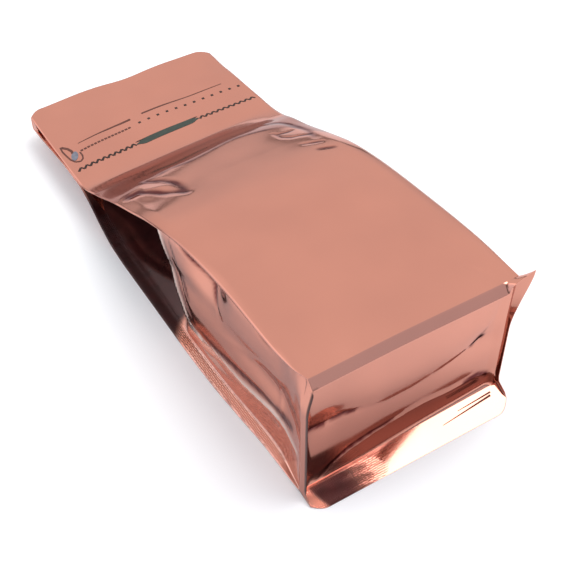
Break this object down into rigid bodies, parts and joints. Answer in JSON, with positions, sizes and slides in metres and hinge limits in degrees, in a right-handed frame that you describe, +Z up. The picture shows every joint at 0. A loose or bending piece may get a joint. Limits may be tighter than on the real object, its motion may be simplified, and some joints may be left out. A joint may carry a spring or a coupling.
{
  "type": "flat-bottom pouch",
  "caption": "Flat-bottom stand-up pouch of shiny metallised film with side gussets and a pressed-flat header, lying on its back panel.",
  "frame": {"origin": "middle of the base, on the surface that the pouch lies on", "axes": "+Y from the flat bottom towards the mouth, +Z up through the front panel, +X to the right seen from the bottom end"},
  "size_m": [0.1402, 0.3582, 0.1005],
  "materials": {
    "film": "rose-gold metallised film, glossy"
  },
  "bodies": {
    "root": {"pouch_body": "film"}
  },
  "joints": []
}
